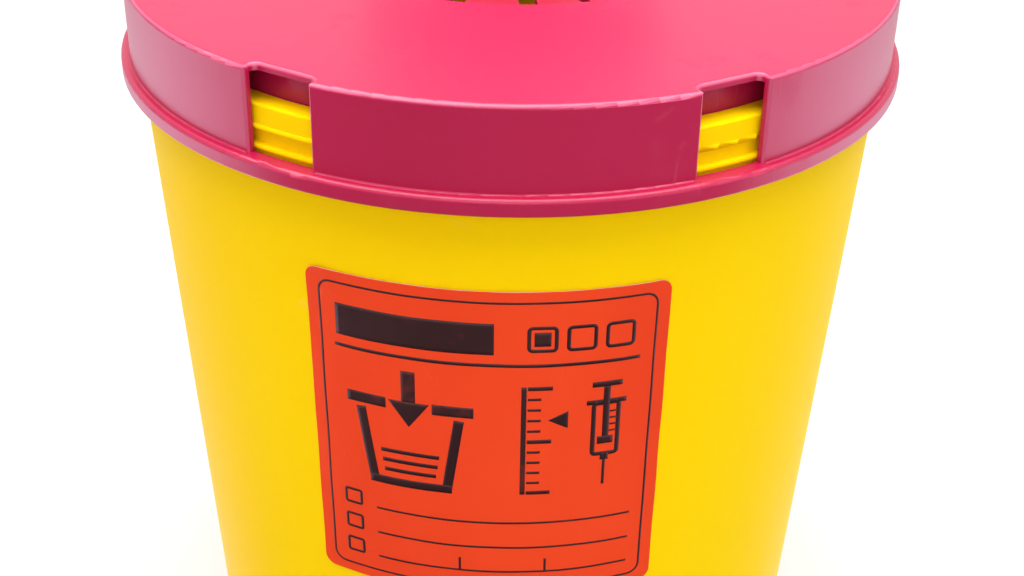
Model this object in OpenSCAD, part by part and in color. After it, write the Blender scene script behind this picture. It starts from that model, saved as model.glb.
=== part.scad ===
// Round sharps container: tapered bucket, press-on lid with a needle-remover insert and a hinged
// closing cap, and a front label.
// Millimetres, +Z up, origin on the table under the middle of the bucket, label facing -Y.

/* [Overall] */
// Outer radius of the lid's flange, the widest circle of the container
lid_r = 100; // [75:1:150]
// Height of the flange's lower edge above the table
flange_z = 190; // [120:1:320]

/* [Bucket] */
// How much smaller the wall's radius is at the foot than under the flange
taper = 10.5; // [4:0.5:16]
// Thickness of the wall and of the bottom
bucket_wall = 1.6; // [1.2:0.1:2.4]
// Height of the bottom above the table, inside the foot ring
base_rise = 3; // [1.5:0.1:6]
// Width of the foot ring that the bucket stands on
foot_w = 9; // [7:0.5:16]
// Radius of the outer corner at the foot
foot_round = 3; // [1:0.1:4]
// Radius of the rim's outer edge
rim_round = 0.6; // [0.3:0.1:1]
// Distance from the rim's top to the middle of the upper bead
bead_drop = 5.5; // [4:0.1:9]
// Distance from one bead to the next
bead_pitch = 4.8; // [4:0.1:6]
// Height of one rim bead
bead_h = 1.6; // [1:0.1:2]
// How far a rim bead stands out from the neck
bead_out = 1.3; // [0.6:0.1:1.5]

/* [Lid] */
// Height of the lid, from the flange's lower edge to its top face
lid_h = 24.7; // [22:0.1:34]
// Thickness of the top plate
plate_t = 1.8; // [1.4:0.1:2.4]
// Thickness of the skirt
skirt_t = 1.8; // [1.4:0.1:2.4]
// How far the flange stands out from the skirt
flange_step = 2.2; // [1.6:0.1:4]
// Height of the flange
flange_h = 4.2; // [3.5:0.1:6]
// Thickness of the flange's two walls
flange_t = 1.6; // [1.2:0.1:2]
// Radius of the lid's rounded outer edges
edge_round = 1.1; // [0.3:0.1:1.2]
// Depth of the bucket's rim below the lid's top face
rim_drop = 9.2; // [6:0.1:10]
// Length of the plug wall that reaches into the bucket, below the top plate
plug_len = 12; // [8:0.5:16]
// Thickness of the plug wall
plug_t = 1.5; // [1.2:0.1:2]
// Radial gap between the skirt and the plug wall, which takes the rim
rim_slot = 6; // [4:0.1:7]

/* [Skirt windows] */
// Number of windows around the skirt
window_count = 6; // [4:2:8]
// Width of a window
window_w = 16.8; // [10:0.1:24]
// Depth of a window's recess in the top plate
window_depth = 3.8; // [2.6:0.1:4.5]
// Radius of a window's inner corners
window_round = 1.6; // [0.5:0.1:2.4]

/* [Aperture] */
// Radius of the hole that sharps drop through
hole_r = 28; // [20:0.5:30]
// Distance from the hole's axis to the front edge of the mouth in the top plate
mouth_front = 39.4; // [36:0.1:42]
// Radius of the mouth's bowed front and back edges
mouth_bow_r = 60; // [50:1:80]
// Radius of the mouth's round sides
mouth_side_r = 46; // [42:0.5:48]
// Thickness of the needle remover, the insert under the mouth
insert_t = 1.8; // [1.4:0.1:2.4]
// Width of the insert's edge that is held under the top plate
insert_lap = 3; // [2:0.1:4]

/* [Closing cap] */
// Thickness of the cap's disc
cap_t = 1.4; // [1.2:0.1:2]
// How far the cap is open at rest, from closed
cap_open = 115; // [95:1:120]
// Distance from the mouth's back edge to the hinge axis
hinge_back = 4; // [3.5:0.1:8]
// Height of the hinge axis above the top plate
hinge_up = 4.5; // [4:0.1:6]
// Radius of the cap's hinge barrel
barrel_r = 3; // [2.6:0.1:3.4]
// Length of the hinge barrel
barrel_len = 25.4; // [16:0.2:36]
// Radius of the stub pins at the barrel's ends
pin_r = 1.8; // [1.4:0.1:2]
// Thickness of each hinge ear on the lid
ear_t = 3; // [2:0.1:5]
// Reach of the finger tab in front of the mouth
tab_reach = 8; // [5:0.5:12]
// Width of the finger tab
tab_w = 18; // [12:0.5:26]

/* [Label] */
// Width of the label around the bucket
label_w = 85.2; // [50:0.5:110]
// Height of the label
label_h = 91; // [50:0.5:110]
// Distance from the flange's lower edge down to the label
label_drop = 21.2; // [8:0.1:40]
// Angle of the label's middle from the front, negative towards -X
label_turn = -2.3; // [-20:0.1:20]
// Radius of the label's corners
label_round = 3; // [1:0.5:8]
// Thickness of the label
label_t = 0.2; // [0.1:0.05:0.4]

/* [Clearances] */
// Gap between snap-fitted pieces
snap_gap = 0.3; // [0.2:0.05:0.5]
// Radial running clearance of the stub pins in their ears
pin_gap = 0.05; // [0.02:0.01:0.1]
// Gap between the cap and the edge of the mouth
cap_gap = 0.5; // [0.4:0.05:0.8]

/* [Hidden] */
$fn = 96;
joined = 0.02;      // overlap of two pieces of one solid
proud = 1;          // how far a cutting shape stands out of what it cuts
small_round = 0.6;  // radius of small rounded corners

// Colours
yellow = [0.99, 0.84, 0.02];
pink = [0.86, 0.17, 0.33];
deep_pink = [0.80, 0.13, 0.25];
orange = [0.93, 0.26, 0.10];

// Heights
lid_top = flange_z + lid_h;
plate_z = lid_top - plate_t;
ledge_z = flange_z + flange_h;
rim_z = lid_top - rim_drop;
bead_z = [rim_z - bead_drop, rim_z - bead_drop - bead_pitch];
shoulder_z = ledge_z - flange_t;
shoulder_h = 1.6;
thick_rim_h = 8;    // height of the rim's thicker wall, inside

// Radii, from the flange inwards
skirt_r = lid_r - flange_step;
skirt_in = skirt_r - skirt_t;
flange_in = lid_r - flange_t;
bead_r = skirt_in - snap_gap;
neck_r = bead_r - bead_out;
rim_r = bead_r - 0.4;           // the band between the rim and the upper bead
plug_r = skirt_in - rim_slot;
rim_in = plug_r + snap_gap;
wall_top_r = neck_r + 0.9;      // the wall's top is a little wider than the neck
wall_foot_r = wall_top_r - taper;
foot_in = wall_foot_r - foot_w;
recess_r = skirt_r - window_depth;

// Snap hooks inside the skirt
hook_arc = 14;
hook_top = bead_z[0] - bead_h / 2 - snap_gap;
hook_h = bead_pitch - bead_h - 2 * snap_gap;

// Mouth and hinge
bow_y = mouth_bow_r - mouth_front;
hinge_y = mouth_front + hinge_back;
hinge_z = lid_top + hinge_up;
ear_wall = 1.8;
ear_r = pin_r + ear_wall;

// Cap, with the disc a little below the plate's upper face
cap_sink = 0.1;
ring_r = hole_r - 0.8;
ring_t = 1.6;
web_t = 4;
tab_lap = 4;
tab_round = 4;
heel_w = 12;
heel_t = 2;

// Needle-remover notches: angle from the front, width
notches = [[-22, 5], [7.4, 4.4], [30, 2.2]];

// The corner that a rounded edge of radius r takes away, at the origin, solid towards -X and -Y
module corner_cut(r) {
    difference() {
        translate([-r, -r]) square([2 * r, 2 * r]);
        translate([-r, -r]) circle(r);
    }
}

// ---- Bucket ----

function wall_r(z) = wall_foot_r + taper * z / flange_z;

module bead(z) {
    translate([neck_r - joined, z - bead_h / 2]) square([bead_out + joined - bead_h / 2, bead_h]);
    translate([bead_r - bead_h / 2, z]) circle(bead_h / 2);
}

module bucket_outline() {
    difference() {
        polygon([
            [0, base_rise], [foot_in, base_rise], [foot_in + base_rise / 2, 0], [wall_foot_r, 0],
            [wall_top_r, flange_z], [wall_top_r, shoulder_z - shoulder_h],
            [skirt_in + 1, shoulder_z - shoulder_h], [skirt_in + 1, shoulder_z],
            [neck_r, shoulder_z], [neck_r, bead_z[0]], [rim_r, bead_z[0]], [rim_r, rim_z], [0, rim_z]
        ]);
        translate([wall_foot_r, 0]) mirror([0, 1]) corner_cut(foot_round);
        translate([rim_r, rim_z]) corner_cut(rim_round);
    }
    for (z = bead_z) bead(z);
}

module bucket_hollow() {
    floor_z = base_rise + bucket_wall;
    in = bucket_wall;
    polygon([
        [0, floor_z], [foot_in - in, floor_z], [foot_in, floor_z - in / 2],
        [wall_foot_r - foot_round - in, 1.2 * in],
        [wall_r(foot_round) - in, foot_round + in],
        [wall_top_r - in, flange_z], [neck_r - in, shoulder_z],
        [neck_r - in, rim_z - thick_rim_h], [rim_in, rim_z - thick_rim_h + neck_r - in - rim_in],
        [rim_in, rim_z + proud], [0, rim_z + proud]
    ]);
}

module bucket() {
    color(yellow)
    rotate_extrude($fn = 180)
    difference() {
        bucket_outline();
        bucket_hollow();
    }
}

// ---- Lid ----

module lid_outline() {
    difference() {
        union() {
            translate([0, plate_z]) square([skirt_r, plate_t]);
            translate([skirt_in, ledge_z - joined]) square([skirt_t, lid_h - flange_h + joined]);
            translate([skirt_in, ledge_z - flange_t]) square([lid_r - skirt_in, flange_t]);
            translate([flange_in, flange_z]) square([flange_t, flange_h]);
            translate([plug_r - plug_t, plate_z - plug_len]) square([plug_t, plug_len + joined]);
        }
        translate([skirt_r, lid_top]) corner_cut(edge_round);
        translate([lid_r, ledge_z]) corner_cut(edge_round);
        translate([lid_r, flange_z]) mirror([0, 1]) corner_cut(edge_round / 2);
        translate([plug_r, plate_z - plug_len]) mirror([0, 1]) corner_cut(small_round);
    }
    // Fillet where the skirt meets the flange
    fillet = 0.4;
    difference() {
        translate([skirt_r - joined, ledge_z - joined]) square(fillet);
        translate([skirt_r + fillet, ledge_z + fillet]) circle(fillet);
    }
}

// The plan of one window, at the front, cut outwards from its recess
module window_plan() {
    half = window_w / 2;
    translate([-half, -lid_r - proud]) square([window_w, lid_r + proud - recess_r - window_round]);
    translate([window_round - half, -lid_r]) square([window_w - 2 * window_round, lid_r - recess_r]);
    for (s = [-1, 1])
        translate([s * (half - window_round), -recess_r - window_round]) circle(window_round);
    // Rounded outer corners of the skirt beside the window
    corner_y = -sqrt(skirt_r * skirt_r - half * half);
    for (s = [0, 1]) mirror([s, 0])
        translate([half, corner_y]) rotate(180) corner_cut(edge_round);
}

// Rounded upper edges of the top plate and skirt around a window at the front
module window_edges() {
    half = window_w / 2;
    flat = half - window_round;
    bend_y = -recess_r - window_round;
    translate([flat, -recess_r, lid_top])
        rotate([90, 0, -90]) linear_extrude(2 * flat) corner_cut(edge_round);
    for (s = [0, 1]) mirror([s, 0, 0]) {
        translate([flat, bend_y, lid_top])
            rotate_extrude(angle = 90) translate([window_round, 0]) mirror([1, 0]) corner_cut(edge_round);
        translate([half, -skirt_r, lid_top])
            rotate([90, 0, 180]) linear_extrude(bend_y + skirt_r) corner_cut(edge_round);
    }
}

module hinge_ear(x) {
    translate([x - ear_t / 2, hinge_y, hinge_z])
        rotate([90, 0, 90]) linear_extrude(ear_t) difference() {
            union() {
                circle(ear_r);
                translate([-ear_r, -hinge_up - joined]) square([2 * ear_r, hinge_up + joined]);
            }
            circle(pin_r + pin_gap);
        }
}

// Outline of the mouth in the top plate, made smaller by gap
module mouth_plan(gap = 0) {
    intersection() {
        translate([0, bow_y]) circle(mouth_bow_r - gap);
        translate([0, -bow_y]) circle(mouth_bow_r - gap);
        circle(mouth_side_r - gap);
    }
}

module lid() {
    step = 360 / window_count;
    ear_x = (barrel_len + ear_t) / 2 + snap_gap;
    color(pink) {
        difference() {
            rotate_extrude($fn = 180) lid_outline();
            for (i = [0:window_count - 1]) rotate((i + 0.5) * step) {
                translate([0, 0, ledge_z]) linear_extrude(lid_h) window_plan();
                window_edges();
            }
            translate([0, 0, plate_z - proud]) linear_extrude(plate_t + 2 * proud) mouth_plan();
        }
        for (i = [0:window_count - 1]) rotate(i * step - 90 - hook_arc / 2)
            rotate_extrude(angle = hook_arc)
                translate([neck_r + snap_gap, hook_top - hook_h])
                    square([skirt_in - neck_r - snap_gap + joined, hook_h]);
        for (s = [-1, 1]) hinge_ear(s * ear_x);
    }
}

// ---- Needle remover, a flat insert with the hole and its notches ----

module needle_remover() {
    color(deep_pink) translate([0, 0, plate_z - insert_t]) difference() {
        linear_extrude(insert_t) mouth_plan(-insert_lap);
        translate([0, 0, -proud]) cylinder(r = hole_r, h = insert_t + 2 * proud);
        for (n = notches) {
            // A notch ends where its middle line passes under the mouth's bowed edge
            reach = bow_y * -cos(n[0]) + sqrt(pow(mouth_bow_r, 2) - pow(bow_y * sin(n[0]), 2));
            rotate(n[0]) translate([-n[1] / 2, -reach, -proud])
                cube([n[1], reach - hole_r / 2, insert_t + 2 * proud]);
        }
    }
}

// ---- Closing cap, drawn closed about its hinge axis and then swung open ----

module cap_closed() {
    top = -hinge_up - cap_sink;             // the disc's upper face, from the hinge axis
    lap_z = snap_gap - hinge_up;            // the tab's lower face, over the plate
    ring_len = plate_t - cap_sink - cap_t + insert_t + small_round;
    translate([0, -hinge_y, top - cap_t]) {
        linear_extrude(cap_t) mouth_plan(cap_gap);
        // Plug ring with a rounded hook bead
        rotate_extrude() {
            translate([ring_r - ring_t, -ring_len]) square([ring_t, ring_len + joined]);
            translate([ring_r - small_round / 3, small_round - ring_len]) circle(small_round);
        }
    }
    // Finger tab, over the plate in front of the mouth
    translate([0, -hinge_y - mouth_front, 0]) {
        translate([0, 0, lap_z]) linear_extrude(cap_t) difference() {
            translate([-tab_w / 2, -tab_reach]) square([tab_w, tab_reach + tab_lap]);
            for (s = [0, 1]) mirror([s, 0])
                translate([tab_w / 2, -tab_reach]) mirror([0, 1]) corner_cut(tab_round);
        }
        translate([-tab_w / 2, 2 * cap_gap + 0.5, top - joined])
            cube([tab_w, tab_lap - 2 * cap_gap - 0.5, lap_z - top + 2 * joined]);
    }
    // Web from the disc up to the barrel; its foot stays inside the bowed edge at the barrel's ends
    foot_y = sqrt(pow(mouth_bow_r, 2) - pow(barrel_len / 2, 2)) - bow_y - hinge_y - cap_gap;
    translate([-barrel_len / 2, 0, 0]) rotate([90, 0, 90]) linear_extrude(barrel_len) polygon([
        [foot_y - web_t, top - joined], [foot_y, top - joined], [foot_y + 0.6, lap_z],
        [1 - hinge_back, 0.6 - hinge_up], [0, -barrel_r], [0, 0],
        [-hinge_back, -1], [foot_y - web_t / 2, top + 1.6], [foot_y - web_t, top + 1.2]
    ]);
    // Barrel with a stub pin at each end
    pins_len = barrel_len + 2 * (ear_t + 2 * snap_gap);
    rotate([0, 90, 0]) cylinder(r = barrel_r, h = barrel_len, center = true);
    rotate([0, 90, 0]) cylinder(r = pin_r, h = pins_len, center = true);
    // Heel that meets the plate when the cap is fully open
    rotate([cap_open - 90, 0, 0])
        translate([-heel_w / 2, 0, -heel_t / 2]) cube([heel_w, hinge_up - snap_gap, heel_t]);
}

module aperture_cap() {
    color(pink) translate([0, hinge_y, hinge_z]) rotate([-cap_open, 0, 0]) cap_closed();
}

// ---- Front label, a thin skin on the tapered wall ----

module label_plan() {
    half = label_w / 2;
    chord = wall_r(flange_z) * sin(half / wall_r(flange_z) * 180 / PI);
    difference() {
        translate([-chord, 0]) square([2 * chord, label_h]);
        for (s = [0, 1]) mirror([s, 0]) {
            translate([chord, label_h]) corner_cut(label_round);
            translate([chord, 0]) mirror([0, 1]) corner_cut(label_round);
        }
    }
}

module front_label() {
    high = flange_z - label_drop;
    low = high - label_h;
    ends = [low - proud, high + proud];
    color(orange)
    rotate(label_turn)
    intersection() {
        rotate([0, 0, -180]) rotate_extrude(angle = 180, $fn = 180) polygon([
            [wall_r(ends[0]), ends[0]], [wall_r(ends[0]) + label_t, ends[0]],
            [wall_r(ends[1]) + label_t, ends[1]], [wall_r(ends[1]), ends[1]]
        ]);
        translate([0, 0, low]) rotate([90, 0, 0]) linear_extrude(lid_r) label_plan();
    }
}

bucket();
lid();
needle_remover();
aperture_cap();
front_label();
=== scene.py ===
import math

import bpy
import numpy as np
from mathutils import Matrix, Vector


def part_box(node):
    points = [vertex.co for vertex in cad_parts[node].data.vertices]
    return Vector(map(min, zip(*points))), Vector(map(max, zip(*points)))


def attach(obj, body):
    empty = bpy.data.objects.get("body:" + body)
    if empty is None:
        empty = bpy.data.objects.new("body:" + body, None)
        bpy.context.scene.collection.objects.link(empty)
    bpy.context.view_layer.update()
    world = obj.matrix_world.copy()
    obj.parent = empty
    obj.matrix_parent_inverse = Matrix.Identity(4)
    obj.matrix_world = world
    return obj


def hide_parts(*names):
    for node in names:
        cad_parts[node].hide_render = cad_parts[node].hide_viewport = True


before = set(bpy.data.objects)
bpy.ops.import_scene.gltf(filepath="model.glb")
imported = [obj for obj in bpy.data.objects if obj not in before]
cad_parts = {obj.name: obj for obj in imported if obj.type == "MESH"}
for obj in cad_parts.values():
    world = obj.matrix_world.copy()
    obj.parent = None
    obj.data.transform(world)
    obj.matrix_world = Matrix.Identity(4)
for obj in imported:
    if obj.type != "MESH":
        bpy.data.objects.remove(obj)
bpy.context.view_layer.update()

print("frame loaded:", sorted(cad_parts))

mm = 0.001
earHeight = 8.1 * mm        # the hinge ears stand this far above the plate
lidHeight = 24.7 * mm       # from the flange's lower edge to the plate's top
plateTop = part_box("lid")[1].z - earHeight
flangeFoot = plateTop - lidHeight
labelLow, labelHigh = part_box("front_label")

# Small helpers

def smoothStep(low, high, x):
    t = np.clip((x - low) / (high - low), 0.0, 1.0)
    return t * t * (3.0 - 2.0 * t)


def nodeVertices(name):
    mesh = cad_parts[name].data
    flat = np.zeros(len(mesh.vertices) * 3)
    mesh.vertices.foreach_get("co", flat)
    return flat.reshape(-1, 3)


def meshObject(name, points, faces, uv=None):
    # One mesh from whole arrays of points and quads, with an optional UV per point
    mesh = bpy.data.meshes.new(name)
    mesh.from_pydata(points.tolist(), [], faces.tolist())
    if uv is not None:
        layer = mesh.uv_layers.new(name="surface")
        loops = np.zeros(len(mesh.loops), np.int32)
        mesh.loops.foreach_get("vertex_index", loops)
        layer.data.foreach_set("uv", uv[loops].astype(np.float32).ravel())
    mesh.polygons.foreach_set("use_smooth", np.ones(len(mesh.polygons), bool))
    mesh.validate()
    mesh.update()
    obj = bpy.data.objects.new(name, mesh)
    bpy.context.scene.collection.objects.link(obj)
    return obj


def gridFaces(rows, columns, wrap=False, start=0):
    # Quads of a grid of points stored row by row; wrap joins the last column to the first
    r = np.arange(rows - 1)[:, None]
    c = np.arange(columns if wrap else columns - 1)[None, :]
    n = (c + 1) % columns
    quads = np.stack([r * columns + c, r * columns + n, (r + 1) * columns + n, (r + 1) * columns + c], -1)
    return quads.reshape(-1, 4) + start

# Shader node helpers

def newMaterial(name):
    material = bpy.data.materials.new(name)
    material.use_nodes = True
    tree = material.node_tree
    tree.nodes.clear()
    out = tree.nodes.new("ShaderNodeOutputMaterial")
    skin = tree.nodes.new("ShaderNodeBsdfPrincipled")
    tree.links.new(skin.outputs["BSDF"], out.inputs["Surface"])
    return material, tree, skin


def addNode(tree, kind, inputs=None, **settings):
    node = tree.nodes.new(kind)
    for key, value in settings.items():
        setattr(node, key, value)
    for key, value in (inputs or {}).items():
        socket = node.inputs[key]
        if isinstance(value, bpy.types.NodeSocket):
            tree.links.new(value, socket)
        else:
            socket.default_value = value
    return node


def mathNode(tree, operation, a, b=0.0, clamp=False):
    node = addNode(tree, "ShaderNodeMath", {0: a, 1: b}, operation=operation, use_clamp=clamp)
    return node.outputs[0]


def rampNode(tree, value, low, high):
    # 0 below low, 1 above high, smooth between
    node = addNode(tree, "ShaderNodeMapRange", {"Value": value, "From Min": low, "From Max": high},
                   interpolation_type="SMOOTHSTEP")
    return node.outputs["Result"]


def mixColour(tree, factor, a, b):
    node = addNode(tree, "ShaderNodeMix", data_type="RGBA")
    for socket, value in ((node.inputs[0], factor), (node.inputs[6], a), (node.inputs[7], b)):
        if isinstance(value, bpy.types.NodeSocket):
            tree.links.new(value, socket)
        else:
            socket.default_value = value
    return node.outputs[2]


def newGroup(name, inputs, outputs):
    group = bpy.data.node_groups.new(name, "ShaderNodeTree")
    for socketName, value in inputs:
        socket = group.interface.new_socket(socketName, in_out="INPUT", socket_type="NodeSocketFloat")
        socket.default_value = value
    for socketName in outputs:
        group.interface.new_socket(socketName, in_out="OUTPUT", socket_type="NodeSocketFloat")
    start = group.nodes.new("NodeGroupInput")
    end = group.nodes.new("NodeGroupOutput")
    return group, start, end


def placeGroup(tree, group, values):
    node = tree.nodes.new("ShaderNodeGroup")
    node.node_tree = group
    for key, value in values.items():
        node.inputs[key].default_value = value
    return node

# Shared surface effects

def mouldedSurface():
    # Moulded plastic: slow unevenness, fine satin grain, and flow marks drawn out along Z
    group, start, end = newGroup(
        "mouldedSurface", [("Wave size", 18.0), ("Grain size", 900.0), ("Grain share", 0.25)],
        ["Height", "Tone"])
    place = addNode(group, "ShaderNodeTexCoord").outputs["Object"]
    stretched = addNode(group, "ShaderNodeMapping", {"Vector": place, "Scale": (1.0, 1.0, 0.35)})
    wave = addNode(group, "ShaderNodeTexNoise",
                   {"Vector": stretched.outputs[0], "Detail": 2.0, "Roughness": 0.45})
    group.links.new(start.outputs["Wave size"], wave.inputs["Scale"])
    grain = addNode(group, "ShaderNodeTexNoise", {"Vector": place, "Detail": 3.0, "Roughness": 0.6})
    group.links.new(start.outputs["Grain size"], grain.inputs["Scale"])
    weighted = mathNode(group, "MULTIPLY", grain.outputs["Fac"], start.outputs["Grain share"])
    height = mathNode(group, "ADD", wave.outputs["Fac"], weighted)
    group.links.new(height, end.inputs["Height"])
    group.links.new(rampNode(group, wave.outputs["Fac"], 0.3, 0.7), end.inputs["Tone"])
    return group


def handlingMarks():
    # Faint scuffs and hairline scratches, as thin lines where a stretched noise crosses its middle
    group, start, end = newGroup("handlingMarks", [("Scale", 30.0), ("Line width", 0.012)],
                                 ["Scratch", "Scuff"])
    place = addNode(group, "ShaderNodeTexCoord").outputs["Object"]
    lines = None
    for turn, stretch in ((0.4, 14.0), (1.9, 11.0)):
        turned = addNode(group, "ShaderNodeMapping",
                         {"Vector": place, "Rotation": (turn * 0.5, 0.3, turn), "Scale": (1.0, stretch, 1.0)})
        noise = addNode(group, "ShaderNodeTexNoise", {"Vector": turned.outputs[0], "Detail": 0.0})
        group.links.new(start.outputs["Scale"], noise.inputs["Scale"])
        away = mathNode(group, "ABSOLUTE", mathNode(group, "SUBTRACT", noise.outputs["Fac"], 0.5))
        thin = mathNode(group, "LESS_THAN", away, start.outputs["Line width"])
        lines = thin if lines is None else mathNode(group, "MAXIMUM", lines, thin)
    patches = addNode(group, "ShaderNodeTexNoise",
                      {"Vector": place, "Scale": 46.0, "Detail": 4.0, "Roughness": 0.7})
    patch = rampNode(group, patches.outputs["Fac"], 0.56, 0.72)
    group.links.new(mathNode(group, "MULTIPLY", lines, patch), end.inputs["Scratch"])
    group.links.new(patch, end.inputs["Scuff"])
    return group


def roundedEdges():
    # 1 on rounded edges of a turned body, where the lid gets its painted highlight: no big face there,
    # so its normal is neither up, nor straight out from the axis, nor along the circle. Low is the
    # height under which only upright edges count.
    group, start, end = newGroup("roundedEdges", [("Low", 0.2), ("High", 0.21)], ["Edge"])
    coords = addNode(group, "ShaderNodeTexCoord")
    flatten = addNode(group, "ShaderNodeVectorMath", {0: coords.outputs["Object"], 1: (1.0, 1.0, 0.0)},
                      operation="MULTIPLY")
    outward = addNode(group, "ShaderNodeVectorMath", {0: flatten.outputs[0]}, operation="NORMALIZE")
    along = addNode(group, "ShaderNodeVectorMath", {0: outward.outputs[0], 1: (0.0, 0.0, 1.0)},
                    operation="CROSS_PRODUCT")
    parts = []
    for direction in (outward.outputs[0], along.outputs[0], (0.0, 0.0, 1.0)):
        dot = addNode(group, "ShaderNodeVectorMath", {0: coords.outputs["Normal"], 1: direction},
                      operation="DOT_PRODUCT")
        parts.append(mathNode(group, "ABSOLUTE", dot.outputs["Value"]))
    largest = mathNode(group, "MAXIMUM", mathNode(group, "MAXIMUM", parts[0], parts[1]), parts[2])
    edge = addNode(group, "ShaderNodeMapRange", {"Value": largest, "From Min": 0.97, "From Max": 0.80},
                   interpolation_type="SMOOTHSTEP")
    height = addNode(group, "ShaderNodeSeparateXYZ", {0: coords.outputs["Object"]}).outputs[2]
    above = addNode(group, "ShaderNodeMapRange", {"Value": height}, interpolation_type="SMOOTHSTEP")
    group.links.new(start.outputs["Low"], above.inputs["From Min"])
    group.links.new(start.outputs["High"], above.inputs["From Max"])
    upright = addNode(group, "ShaderNodeMapRange", {"Value": parts[2], "From Min": 0.35, "From Max": 0.10})
    allowed = mathNode(group, "MAXIMUM", above.outputs["Result"], upright.outputs["Result"])
    group.links.new(mathNode(group, "MULTIPLY", edge.outputs["Result"], allowed), end.inputs["Edge"])
    return group


moulded = mouldedSurface()
marks = handlingMarks()
edges = roundedEdges()

# Plastics

def plasticMaterial(name, look):
    material, tree, skin = newMaterial(name)
    surface = placeGroup(tree, moulded, {"Wave size": look["waveSize"], "Grain share": look["grainShare"]})
    wear = placeGroup(tree, marks, {"Scale": look["scratchScale"], "Line width": look["scratchWidth"]})
    tone = mixColour(tree, surface.outputs["Tone"], look["deep"], look["colour"])
    scuffed = mathNode(tree, "MULTIPLY", wear.outputs["Scratch"], look["scratchTone"])
    colour = mixColour(tree, scuffed, tone, look["worn"])
    # Painted highlight: the rounded edges are lightened toward a pale pink where light would catch them
    if look["edgeHighlightTone"] > 0:
        edge = placeGroup(tree, edges, {"Low": plateTop - look["edgeLow"],
                                        "High": plateTop - look["edgeHigh"]})
        paintedEdgeHighlight = mathNode(tree, "MULTIPLY", edge.outputs["Edge"], look["edgeHighlightTone"])
        colour = mixColour(tree, paintedEdgeHighlight, colour, look["paintedEdgeHighlight"])
    tree.links.new(colour, skin.inputs["Base Color"])
    rough = mathNode(tree, "MULTIPLY_ADD", wear.outputs["Scuff"], look["scuffRough"])
    rough.node.inputs[2].default_value = look["roughness"]
    tree.links.new(rough, skin.inputs["Roughness"])
    bump = addNode(tree, "ShaderNodeBump", {"Strength": look["bump"], "Distance": look["bumpDepth"],
                                            "Height": surface.outputs["Height"]})
    tree.links.new(bump.outputs["Normal"], skin.inputs["Normal"])
    skin.inputs["IOR"].default_value = look["ior"]
    skin.inputs["Specular IOR Level"].default_value = look["specular"]
    skin.inputs["Subsurface Weight"].default_value = look["scatter"]
    skin.inputs["Subsurface Radius"].default_value = look["scatterRadius"]
    skin.inputs["Subsurface Scale"].default_value = look["scatterDepth"]
    return material


yellowLook = {
    "colour": (0.95, 0.63, 0.001, 1), "deep": (0.93, 0.58, 0.001, 1), "worn": (0.95, 0.75, 0.2, 1),
    "roughness": 0.48, "scuffRough": 0.08, "scratchScale": 12.0, "scratchWidth": 0.004, "scratchTone": 0.10,
    "waveSize": 9.0, "grainShare": 0.10, "bump": 0.12, "bumpDepth": 1.0 * mm, "specular": 0.02,
    "edgeHighlightTone": 0.0, "ior": 1.49,
    "scatter": 0.05, "scatterRadius": (1.0, 0.6, 0.05), "scatterDepth": 1.5 * mm,
}
pinkLook = {
    "colour": (0.45, 0.006, 0.060, 1), "deep": (0.41, 0.004, 0.052, 1), "worn": (0.75, 0.25, 0.35, 1),
    "roughness": 0.32, "scuffRough": 0.10, "scratchScale": 14.0, "scratchWidth": 0.004, "scratchTone": 0.12,
    "waveSize": 14.0, "grainShare": 0.16, "bump": 0.14, "bumpDepth": 1.0 * mm, "specular": 0.5,
    # the pale pink edge colour here is a painted highlight on the lid's rounded edges
    "edgeHighlightTone": 0.55, "paintedEdgeHighlight": (0.62, 0.13, 0.24, 1), "edgeLow": 9 * mm, "edgeHigh": 4 * mm, "ior": 1.49,
    "scatter": 0.05, "scatterRadius": (1.0, 0.2, 0.3), "scatterDepth": 1.2 * mm,
}
capLook = dict(pinkLook, edgeHighlightTone=0.0)
insertLook = dict(pinkLook, edgeHighlightTone=0.0, colour=(0.40, 0.005, 0.030, 1), deep=(0.36, 0.004, 0.024, 1))

yellowPlastic = plasticMaterial("yellow_plastic", yellowLook)
pinkPlastic = plasticMaterial("pink_plastic", pinkLook)
capPlastic = plasticMaterial("cap_plastic", capLook)
insertPlastic = plasticMaterial("insert_plastic", insertLook)


def dress(nodeName, material):
    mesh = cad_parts[nodeName].data
    mesh.materials.clear()
    mesh.materials.append(material)


dress("bucket", yellowPlastic)
dress("lid", pinkPlastic)
dress("aperture_cap", capPlastic)
dress("needle_remover", insertPlastic)
print("plastics done")

# Label

labelLook = {
    "colour": (0.86, 0.052, 0.004, 1), "deep": (0.80, 0.043, 0.003, 1), "paper": (0.88, 0.84, 0.80, 1),
    "corner": 3.0 * mm, "rows": 150, "columns": 150, "thick": 0.12 * mm,
    "ripple": 0.05 * mm, "edgeLift": 0.22 * mm, "edgeWidth": 3.5 * mm,
    "waveNumbers": (310, 240, 150, 190), "edgeNumbers": (420, 260),     # radians per metre
    "waveSize": 26.0, "grainSize": 1600.0, "grainShare": 0.3, "bump": 0.1, "bumpDepth": 0.5 * mm,
    "scratchScale": 16.0, "scratchWidth": 0.004, "scratchTone": 0.12, "worn": (0.95, 0.35, 0.22, 1),
    "roughness": 0.42, "scuffRough": 0.12, "ior": 1.46, "specular": 0.25,
    "paperDeep": (0.75, 0.60, 0.50, 1), "paperRough": 0.85, "paperWave": 120.0, "paperGrain": 2500.0,
}

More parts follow.
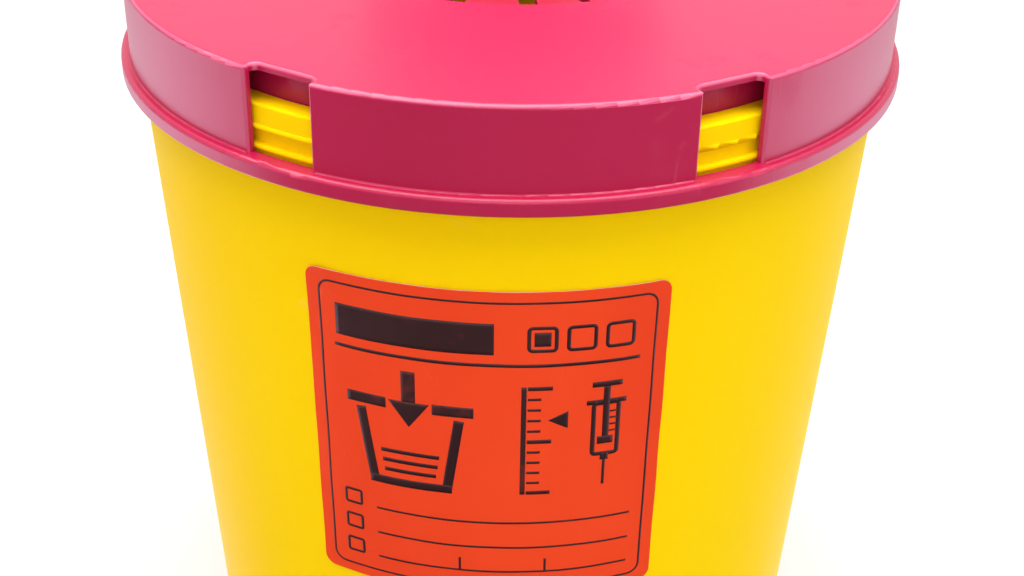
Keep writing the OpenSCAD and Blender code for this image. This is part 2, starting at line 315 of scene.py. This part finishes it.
# The label's place on the tapered wall, read from the CAD skin
skinPoints = nodeVertices("front_label")
skinRadius = np.hypot(skinPoints[:, 0], skinPoints[:, 1])
skinAngle = np.arctan2(skinPoints[:, 0], -skinPoints[:, 1])
atTop = skinPoints[:, 2] > labelHigh.z - 0.2 * mm
atFoot = skinPoints[:, 2] < labelLow.z + 0.2 * mm
topRadius = skinRadius[atTop].max()
footRadius = skinRadius[atFoot].max()
labelTurn = (skinAngle.min() + skinAngle.max()) / 2
labelHeight = labelHigh.z - labelLow.z
middleRadius = (topRadius + footRadius) / 2
halfChord = (skinPoints[:, 0] * math.cos(labelTurn) + skinPoints[:, 1] * math.sin(labelTurn)).max()
halfWidth = math.asin(halfChord / middleRadius) * middleRadius
wallSlope = (topRadius - footRadius) / labelHeight


def labelRipple(across, up):
    # Height of the film off the wall: low rounded waves, and an edge that lifts a little in places
    wide, tall, slantAcross, slantUp = labelLook["waveNumbers"]
    slanted = 0.6 * np.sin(across * slantAcross - up * slantUp)
    waves = np.sin(across * wide + 1.3) * np.sin(up * tall + 0.4) + slanted
    edge = np.minimum(halfWidth - np.abs(across), np.minimum(up, labelHeight - up))
    near = 1.0 - smoothStep(0.0, labelLook["edgeWidth"], edge)
    edgeAcross, edgeUp = labelLook["edgeNumbers"]
    patchy = 0.5 + 0.5 * np.sin(across * edgeAcross + up * edgeUp + 0.8)
    corner = smoothStep(-0.6 * halfWidth, -halfWidth, across)
    corner = corner * smoothStep(0.85 * labelHeight, labelHeight, up)
    return labelLook["ripple"] * waves + labelLook["edgeLift"] * near * (0.35 * patchy + corner)


def onLabel(across, up, lift=0.0):
    # A flat point, metres across from the middle and up from the lower edge, wrapped on the cone
    radius = footRadius + wallSlope * up
    angle = labelTurn + across / radius
    reach = radius + labelRipple(across, up) + lift - labelLook["ripple"]
    return np.stack([reach * np.sin(angle), -reach * np.cos(angle), labelLow.z + up + 0.0 * across], -1)


def roundedHalf(up, height, half, corner):
    # Half width of a rounded rectangle at each height
    depth = np.maximum(corner - np.minimum(up, height - up), 0.0)
    return half - corner + np.sqrt(np.maximum(corner ** 2 - depth ** 2, 0.0))


def makeLabel(look):
    # A grid whose rows crowd at the ends, each row as wide as the rounded outline there
    t = np.linspace(0.0, 1.0, look["rows"])
    up = labelHeight * (0.5 - 0.5 * np.cos(np.pi * t))
    s = np.sin(np.linspace(-1.0, 1.0, look["columns"]) * np.pi / 2)
    across = s[None, :] * roundedHalf(up, labelHeight, halfWidth, look["corner"])[:, None]
    ups = np.repeat(up[:, None], look["columns"], 1)
    points = onLabel(across, ups, look["thick"] / 2).reshape(-1, 3)
    uv = np.stack([across / (2 * halfWidth) + 0.5, ups / labelHeight], -1).reshape(-1, 2)
    label = meshObject("label_film", points, gridFaces(look["rows"], look["columns"]), uv)
    solid = label.modifiers.new("thickness", "SOLIDIFY")
    solid.thickness = look["thick"]
    solid.offset = 0.0
    solid.material_offset_rim = 1
    return label


def filmMaterial(name, look):
    material, tree, skin = newMaterial(name)
    surface = placeGroup(tree, moulded, {"Wave size": look["waveSize"], "Grain size": look["grainSize"],
                                         "Grain share": look["grainShare"]})
    wear = placeGroup(tree, marks, {"Scale": look["scratchScale"], "Line width": look["scratchWidth"]})
    tone = mixColour(tree, surface.outputs["Tone"], look["deep"], look["colour"])
    scratched = mathNode(tree, "MULTIPLY", wear.outputs["Scratch"], look["scratchTone"])
    tree.links.new(mixColour(tree, scratched, tone, look["worn"]), skin.inputs["Base Color"])
    rough = mathNode(tree, "MULTIPLY_ADD", wear.outputs["Scuff"], look["scuffRough"])
    rough.node.inputs[2].default_value = look["roughness"]
    tree.links.new(rough, skin.inputs["Roughness"])
    bump = addNode(tree, "ShaderNodeBump", {"Strength": look["bump"], "Distance": look["bumpDepth"],
                                            "Height": surface.outputs["Height"]})
    tree.links.new(bump.outputs["Normal"], skin.inputs["Normal"])
    skin.inputs["IOR"].default_value = look["ior"]
    skin.inputs["Specular IOR Level"].default_value = look["specular"]
    return material


def paperMaterial(name, look):
    # The white paper core that shows at the label's cut edge
    material, tree, skin = newMaterial(name)
    surface = placeGroup(tree, moulded, {"Wave size": look["paperWave"], "Grain size": look["paperGrain"],
                                         "Grain share": 0.5})
    tone = mixColour(tree, surface.outputs["Tone"], look["paperDeep"], look["paper"])
    tree.links.new(tone, skin.inputs["Base Color"])
    skin.inputs["Roughness"].default_value = look["paperRough"]
    return material


label = makeLabel(labelLook)
label.data.materials.append(filmMaterial("orange_film", labelLook))
label.data.materials.append(paperMaterial("label_core", labelLook))
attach(label, "container")
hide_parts("front_label")
print("label done")

# Label print

# Millimetres on the flat label: across from the middle, up from the lower edge
printLook = {
    "ink": (0.030, 0.007, 0.009, 1), "inkPale": (0.045, 0.012, 0.013, 1), "rubTone": 0.10,
    "inkRough": 0.5, "inkSpecular": 0.3, "inkBump": 0.1, "inkBumpDepth": 0.3 * mm,
    "thick": 0.03 * mm, "step": 1.0, "line": 0.55,
    "frame": (0, 45.5, 79, 85, 3.0), "heading": (-35.5, 2.0, 78.2, 8.6), "ruleHeight": 71.0,
    "chips": (13.0, 22.0, 31.0), "chipSize": 6.2,
    "binMiddle": -18.0, "binFoot": 33.5, "binHeight": 21.0, "binTop": 24.0, "binWaist": 18.0, "binLine": 2.4,
    "scaleLeft": 9.0, "scaleFoot": 33.5, "scaleStep": 3.1, "scaleMarks": 10, "fullMark": 7,
    "syringe": (28.5, 34.5), "fieldRows": (25.5, 17.5, 9.5), "fieldEnds": (-27.0, 36.0), "boxSize": 4.2,
}


def linePath(x0, y0, x1, y1):
    count = max(2, int(math.hypot(x1 - x0, y1 - y0) / printLook["step"]) + 2)
    t = np.linspace(0.0, 1.0, count)[:, None]
    return np.array([[x0, y0]]) * (1 - t) + np.array([[x1, y1]]) * t


def boxPath(x, y, width, height, corner):
    # Rounded rectangle: four quarter circles, with the straight sides filled in at an even step
    turn = np.linspace(0.0, np.pi / 2, 7)
    arcs = []
    for k, (sx, sy) in enumerate(((1, 1), (-1, 1), (-1, -1), (1, -1))):
        a = turn + k * np.pi / 2
        arcs.append(np.stack([x + sx * (width / 2 - corner) + corner * np.cos(a),
                              y + sy * (height / 2 - corner) + corner * np.sin(a)], 1))
    ring = np.concatenate(arcs + [arcs[0][:1]])
    along = np.concatenate([[0.0], np.cumsum(np.hypot(*np.diff(ring, axis=0).T))])
    extra = np.arange(0.0, along[-1], printLook["step"])
    places = np.unique(np.round(np.concatenate([along[:-1], extra]), 3))
    places = places[np.concatenate([[True], np.diff(places) > 0.05])]
    return np.stack([np.interp(places, along, ring[:, 0]), np.interp(places, along, ring[:, 1])], 1)


def ribbon(path, width, closed=False):
    # A flat strip: every path point plus its left normal times an offset across the strip's width
    ahead = np.roll(path, -1, 0) - np.roll(path, 1, 0)
    if not closed:
        ahead[0], ahead[-1] = path[1] - path[0], path[-1] - path[-2]
    ahead = ahead / np.linalg.norm(ahead, axis=1, keepdims=True)
    normal = np.stack([-ahead[:, 1], ahead[:, 0]], 1)
    columns = max(2, int(np.max(width) / printLook["step"]) + 2)
    offset = np.linspace(0.5, -0.5, columns)[None, :, None] * np.reshape(width, (-1, 1, 1))
    flat = (path[:, None, :] + offset * normal[:, None, :]).reshape(-1, 2)
    faces = gridFaces(len(path), columns)
    if closed:
        last, c = (len(path) - 1) * columns, np.arange(columns - 1)
        faces = np.concatenate([faces, np.stack([last + c, last + c + 1, c + 1, c], 1)])
    return flat, faces


def bar(x0, y0, x1, y1, width):
    return ribbon(linePath(x0, y0, x1, y1), width)


def arrowHead(x, y, dx, dy, width):
    # A triangle as a strip that narrows to its tip
    path = linePath(x, y, x + dx, y + dy)
    return ribbon(path, np.linspace(width, 0.08, len(path)))


def headingMotifs(look):
    x0, x1, y, height = look["heading"]
    shapes = [ribbon(boxPath(*look["frame"]), look["line"], True), bar(x0, y, x1, y, height)]
    for k, x in enumerate(look["chips"]):
        size = look["chipSize"]
        shapes.append(ribbon(boxPath(x, y, size, size, 0.9), 0.9, True))
        if k == 0:
            shapes.append(bar(x - 1.9, y, x + 1.9, y, 3.8))
    shapes.append(bar(-36.0, look["ruleHeight"], 36.0, look["ruleHeight"], 0.9))
    return shapes


def binMotifs(look):
    # A bin with a lid in two halves, an arrow down between them, and its contents as level lines
    x, foot, line = look["binMiddle"], look["binFoot"], look["binLine"]
    head = foot + look["binHeight"]
    top, waist = look["binTop"] / 2, look["binWaist"] / 2
    shapes = [bar(x - top, head, x - waist, foot, line), bar(x + top, head, x + waist, foot, line),
              bar(x - waist - line / 2, foot, x + waist + line / 2, foot, line)]
    for side in (-1, 1):
        shapes.append(bar(x + side * 5.6, head + 2.6, x + side * (top + 3.4), head + 2.6, 3.0))
    shapes.append(bar(x, head + 12.6, x, head + 3.6, 3.4))
    shapes.append(arrowHead(x, head + 3.8, 0.0, -7.2, 10.0))
    for k, reach in enumerate((6.4, 6.8, 7.2)):
        y = foot + 3.6 + 2.9 * k
        shapes.append(bar(x - reach, y, x + reach, y, 1.1))
    return shapes


def scaleMotifs(look):
    # A fill scale with a longer mark at every fifth step and a pointer at the full mark
    x, foot, step = look["scaleLeft"], look["scaleFoot"], look["scaleStep"]
    top = foot + step * look["scaleMarks"]
    shapes = [bar(x, foot - 0.5, x, top + 0.5, 1.2)]
    for k in range(look["scaleMarks"] + 1):
        long = k % 5 == 0
        y = foot + step * k
        shapes.append(bar(x + 0.9, y, x + (6.6 if long else 4.0), y, 1.1 if long else 0.7))
    y = foot + step * look["fullMark"]
    shapes.append(arrowHead(x + 10.4, y, -4.6, 0.0, 5.0))
    return shapes


def syringeMotifs(look):
    # From the needle up: needle, hub, barrel, finger rest, plunger rod, stopper, thumb rest, graduations
    x, foot = look["syringe"]
    shapes = [bar(x, foot, x, foot + 8.0, 0.7), bar(x, foot + 7.6, x, foot + 9.6, 2.0),
              ribbon(boxPath(x, foot + 17.0, 6.0, 15.0, 0.8), 1.1, True),
              bar(x - 4.8, foot + 24.9, x + 4.8, foot + 24.9, 1.3),
              bar(x, foot + 14.0, x, foot + 29.5, 1.6), bar(x - 1.9, foot + 13.6, x + 1.9, foot + 13.6, 2.2),
              bar(x - 3.6, foot + 30.0, x + 3.6, foot + 30.0, 1.5)]
    for k in range(4):
        shapes.append(bar(x + 0.9, foot + 16.2 + 1.9 * k, x + 2.6, foot + 16.2 + 1.9 * k, 0.45))
    return shapes


def fieldMotifs(look):
    # Ruled lines to write on, each behind a tick box, with bars that part the last one in three
    left, right = look["fieldEnds"]
    shapes = []
    for y in look["fieldRows"]:
        shapes.append(bar(left, y - 1.6, right, y - 1.6, look["line"]))
        shapes.append(ribbon(boxPath(-33.2, y + 0.2, look["boxSize"], look["boxSize"], 0.5), 0.7, True))
    for x in (-6.0, 15.0):
        shapes.append(bar(x, look["fieldRows"][-1] - 1.4, x, look["fieldRows"][-1] + 2.6, look["line"]))
    return shapes


def makePrint(look):
    shapes = headingMotifs(look) + binMotifs(look) + scaleMotifs(look)
    shapes += syringeMotifs(look) + fieldMotifs(look)
    points, faces, start = [], [], 0
    for k, (flat, quads) in enumerate(shapes):
        lift = labelLook["thick"] + look["thick"] * (0.7 + 0.02 * k)
        points.append(onLabel(flat[:, 0] * mm, flat[:, 1] * mm, lift))
        faces.append(quads + start)
        start += len(flat)
    ink = meshObject("label_print", np.concatenate(points), np.concatenate(faces))
    solid = ink.modifiers.new("thickness", "SOLIDIFY")
    solid.thickness = look["thick"]
    solid.offset = 0.0
    return ink


def inkMaterial(name, look):
    # Screen ink: nearly black, a little uneven, with a faint break-up where it was rubbed
    material, tree, skin = newMaterial(name)
    surface = placeGroup(tree, moulded, {"Wave size": 60.0, "Grain size": 2200.0, "Grain share": 0.5})
    wear = placeGroup(tree, marks, {"Scale": 60.0, "Line width": 0.01})
    tone = mixColour(tree, surface.outputs["Tone"], look["ink"], look["inkPale"])
    rubbed = mathNode(tree, "MULTIPLY", wear.outputs["Scuff"], look["rubTone"])
    tree.links.new(mixColour(tree, rubbed, tone, labelLook["colour"]), skin.inputs["Base Color"])
    skin.inputs["Roughness"].default_value = look["inkRough"]
    skin.inputs["Specular IOR Level"].default_value = look["inkSpecular"]
    bump = addNode(tree, "ShaderNodeBump", {"Strength": look["inkBump"], "Distance": look["inkBumpDepth"],
                                            "Height": surface.outputs["Height"]})
    tree.links.new(bump.outputs["Normal"], skin.inputs["Normal"])
    return material


labelPrint = makePrint(printLook)
labelPrint.data.materials.append(inkMaterial("screen_ink", printLook))
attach(labelPrint, "container")
print("label print done")

# Camera

cameraLook = {
    "lens": 55.8, "sensor": 36.0, "clipStart": 0.01, "tilt": 30.335, "roll": 1.068, "around": 0.35,
    "place": (1.5 * mm, -393.9 * mm, 155.2 * mm),     # from the flange's lower edge on the axis
}


def makeCamera(look):
    tilt, roll = math.radians(look["tilt"]), math.radians(look["roll"])
    ahead = Vector((0, math.cos(tilt), -math.sin(tilt)))
    above = Vector((0, math.sin(tilt), math.cos(tilt)))
    right = Vector((1, 0, 0))
    side = right * math.cos(roll) + above * math.sin(roll)
    top = above * math.cos(roll) - right * math.sin(roll)
    data = bpy.data.cameras.new("camera")
    data.lens = look["lens"]
    data.sensor_width = look["sensor"]
    data.clip_start = look["clipStart"]
    camera = bpy.data.objects.new("camera", data)
    bpy.context.scene.collection.objects.link(camera)
    turn = Matrix((side, top, -ahead)).transposed().to_4x4()
    place = Matrix.Translation(Vector(look["place"]) + Vector((0, 0, flangeFoot))) @ turn
    camera.matrix_world = Matrix.Rotation(math.radians(look["around"]), 4, "Z") @ place
    bpy.context.scene.camera = camera


makeCamera(cameraLook)

# Studio

studioLook = {
    "paper": (0.45, 0.45, 0.45, 1), "paperGlow": 0.35, "floorSize": 8.0, "ambient": 0.45,
    "sideGlow": (1.75, 1.65, 2.3, 1), "frontTone": (0.03, 0.03, 0.03, 1),      # for gloss alone
    "frontEnds": (0.2, 0.55), "sideEnds": (-1.0, 0.1),     # cosines of the angle from straight ahead
    "lamps": [
        # name, place, aimed at, width, height, power
        ("top_lamp", (0.0, -0.1, 1.5), (0.0, -0.1, 0.2), 2.0, 1.5, 53.0),
        ("front_lamp", (0.0, -1.5, 0.9), (0.0, 0.0, 0.12), 1.0, 0.6, 5.0),
        ("left_lamp", (-1.2, -0.5, 0.7), (0.0, 0.0, 0.12), 0.6, 0.8, 1.5),
        ("right_lamp", (1.2, -0.5, 0.7), (0.0, 0.0, 0.12), 0.6, 0.8, 2.0),
    ],
}


def makeLamp(name, place, aim, width, height, power):
    data = bpy.data.lights.new(name, "AREA")
    data.shape = "RECTANGLE"
    data.size, data.size_y = width, height
    data.energy = power
    lamp = bpy.data.objects.new(name, data)
    bpy.context.scene.collection.objects.link(lamp)
    lamp.visible_camera = False
    lamp.location = place
    lamp.rotation_mode = "QUATERNION"
    lamp.rotation_quaternion = (Vector(aim) - Vector(place)).to_track_quat("-Z", "Y")


def makeFloor(look):
    # Pale paper: it glows a little for the eye, and gloss sees it bright at the sides and dim in front
    half = look["floorSize"] / 2
    corners = np.array([[-half, -half, 0], [half, -half, 0], [half, half, 0], [-half, half, 0]], float)
    floor = meshObject("floor", corners, np.array([[0, 1, 2, 3]]))
    material = bpy.data.materials.new("floor_paper")
    material.use_nodes = True
    tree = material.node_tree
    tree.nodes.clear()
    path = addNode(tree, "ShaderNodeLightPath")
    place = addNode(tree, "ShaderNodeTexCoord").outputs["Object"]
    split = addNode(tree, "ShaderNodeSeparateXYZ", {0: place})
    reach = addNode(tree, "ShaderNodeVectorMath", {0: place}, operation="LENGTH").outputs["Value"]
    ahead = mathNode(tree, "DIVIDE", mathNode(tree, "MULTIPLY", split.outputs[1], -1.0), reach)
    front = rampNode(tree, ahead, *look["frontEnds"])
    glossFront = mathNode(tree, "MULTIPLY", front, path.outputs["Is Glossy Ray"])
    beside = mathNode(tree, "MULTIPLY", mathNode(tree, "SUBTRACT", 1.0, front),
                      rampNode(tree, ahead, *look["sideEnds"]))
    side = mathNode(tree, "MULTIPLY", beside, path.outputs["Is Glossy Ray"])
    eye = mathNode(tree, "MAXIMUM", path.outputs["Is Camera Ray"], path.outputs["Is Transmission Ray"])
    tone = mixColour(tree, glossFront, look["paper"], look["frontTone"])
    paper = addNode(tree, "ShaderNodeBsdfDiffuse", {"Color": tone})
    glow = mathNode(tree, "MULTIPLY", eye, look["paperGlow"])
    light = addNode(tree, "ShaderNodeEmission", {"Strength": glow})
    sideLight = addNode(tree, "ShaderNodeEmission", {"Color": look["sideGlow"], "Strength": side})
    lights = addNode(tree, "ShaderNodeAddShader", {0: light.outputs[0], 1: sideLight.outputs[0]})
    both = addNode(tree, "ShaderNodeAddShader", {0: paper.outputs[0], 1: lights.outputs[0]})
    addNode(tree, "ShaderNodeOutputMaterial", {"Surface": both.outputs[0]})
    floor.data.materials.append(material)


def makeWorld(look):
    # White for the eye, gloss and glass, and a softer even light on the surfaces
    world = bpy.data.worlds.new("studio")
    bpy.context.scene.world = world
    world.use_nodes = True
    tree = world.node_tree
    tree.nodes.clear()
    path = addNode(tree, "ShaderNodeLightPath")
    either = mathNode(tree, "MAXIMUM", path.outputs["Is Camera Ray"], path.outputs["Is Glossy Ray"])
    eye = mathNode(tree, "MAXIMUM", either, path.outputs["Is Transmission Ray"])
    white = addNode(tree, "ShaderNodeBackground", {"Color": (1, 1, 1, 1), "Strength": 1.0})
    soft = addNode(tree, "ShaderNodeBackground", {"Color": (1, 1, 1, 1), "Strength": look["ambient"]})
    mix = addNode(tree, "ShaderNodeMixShader", {0: eye, 1: soft.outputs[0], 2: white.outputs[0]})
    addNode(tree, "ShaderNodeOutputWorld", {"Surface": mix.outputs[0]})


for lamp in studioLook["lamps"]:
    makeLamp(*lamp)
makeFloor(studioLook)
makeWorld(studioLook)
bpy.context.scene.view_settings.view_transform = "Standard"
print("studio done")
